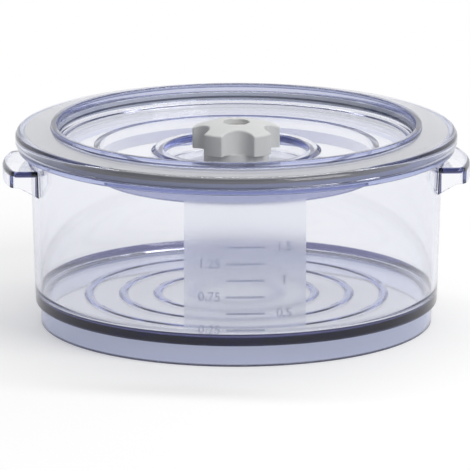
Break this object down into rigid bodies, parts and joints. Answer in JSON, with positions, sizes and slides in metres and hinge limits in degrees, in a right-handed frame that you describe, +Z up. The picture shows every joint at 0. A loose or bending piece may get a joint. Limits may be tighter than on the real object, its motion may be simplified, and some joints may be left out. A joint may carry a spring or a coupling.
{
  "type": "vacuum seal canister",
  "caption": "Clear round food canister with two ear handles and a lift-off lid whose fluted knob turns a rotary vacuum valve with a hose port.",
  "frame": {"origin": "middle of the foot ring, on the plane that the canister stands on", "axes": "+Z up along the axis of the bowl, lid and knob; +X through the ears; -Y is the front, with the measuring panel"},
  "size_m": [0.23, 0.2172, 0.0996],
  "materials": {
    "clear_plastic": "clear, polished, faintly blue",
    "gasket_silicone": "translucent grey silicone",
    "knob_plastic": "light grey, satin moulded",
    "valve_silicone": "grey silicone",
    "rotor_plastic": "white, satin moulded",
    "spring_steel": "stainless spring steel"
  },
  "bodies": {
    "bowl": {"bowl": "clear_plastic"},
    "lid": {"lid": "clear_plastic", "lid_gasket": "gasket_silicone", "seat_gasket": "valve_silicone"},
    "knob": {"knob": "knob_plastic", "port_grommet": "valve_silicone", "valve_rotor": "rotor_plastic", "rotor_seal": "valve_silicone", "slip_washer": "rotor_plastic", "cupped_spring": "spring_steel", "stem_clip": "spring_steel"}
  },
  "joints": [
    {"name": "lid_lift", "type": "slide", "parent": "bowl", "child": "lid", "axis": [0, 0, 1], "range_m": [0, 0.1]},
    {"name": "knob_turn", "type": "hinge", "parent": "lid", "child": "knob", "pos_m": [0, 0, 0.0886], "axis": [0, 0, 1], "range_deg": [0, 90]}
  ]
}
